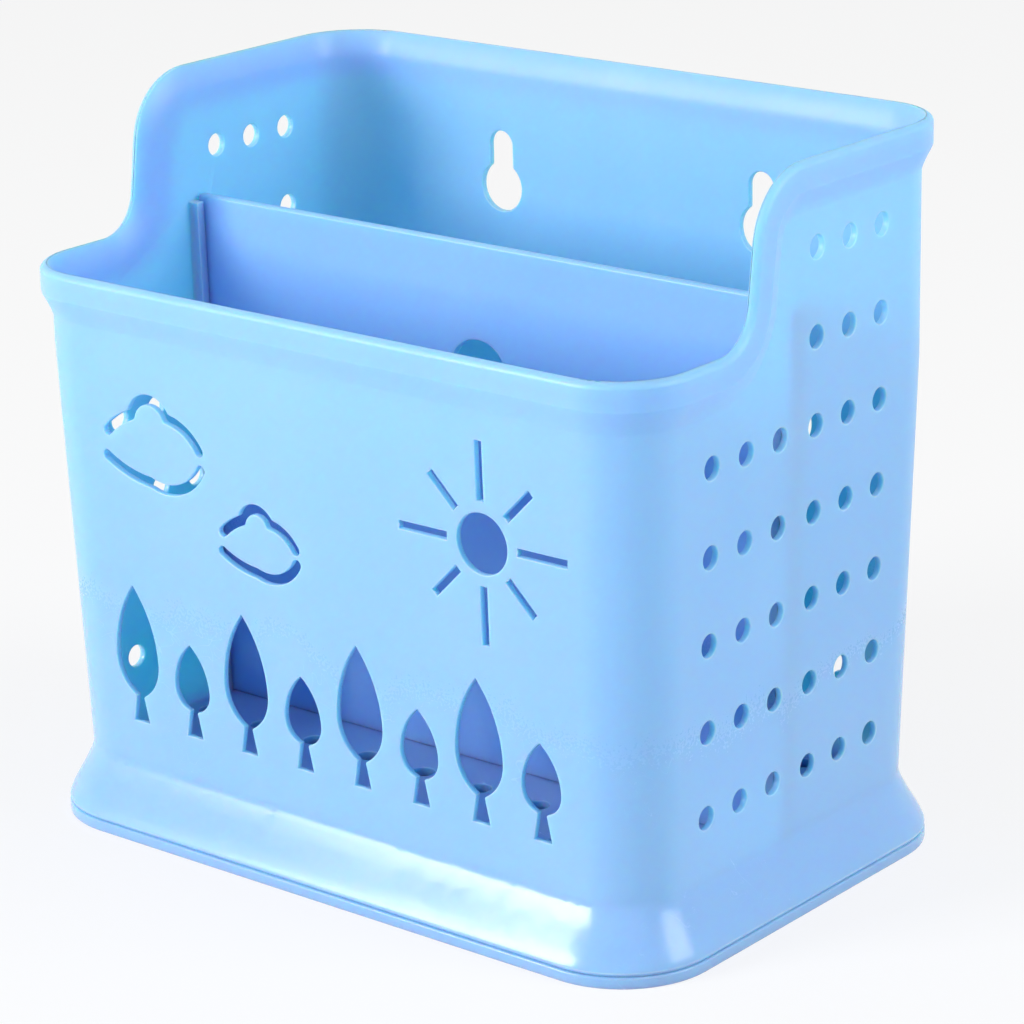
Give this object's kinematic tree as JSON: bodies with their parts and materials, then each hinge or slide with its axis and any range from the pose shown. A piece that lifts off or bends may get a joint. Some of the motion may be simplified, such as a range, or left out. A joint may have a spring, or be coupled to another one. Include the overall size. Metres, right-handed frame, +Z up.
{
  "type": "chopstick holder",
  "caption": "Plastic chopstick holder: drafted basket with a high back, low front, drain holes and cut-out picture, a lift-out divider and a drip tray under its flared skirt.",
  "frame": {"origin": "middle of the foot, on the surface that the drip tray stands on", "axes": "+X to the right along the width, +Y towards the back wall, +Z up"},
  "size_m": [0.155, 0.104, 0.144],
  "materials": {
    "basket": "glossy pale blue moulded plastic",
    "divider": "glossy pale blue moulded plastic",
    "drip_tray": "glossy pale blue moulded plastic"
  },
  "bodies": {
    "drip_tray": {"drip_tray": "drip_tray"},
    "basket": {"basket": "basket"},
    "divider": {"divider": "divider"}
  },
  "joints": [
    {"name": "basket_lift", "type": "slide", "parent": "drip_tray", "child": "basket", "axis": [0, 0, 1], "range_m": [0, 0.03]},
    {"name": "divider_lift", "type": "slide", "parent": "basket", "child": "divider", "axis": [0, 0, 1], "range_m": [0, 0.135]}
  ]
}
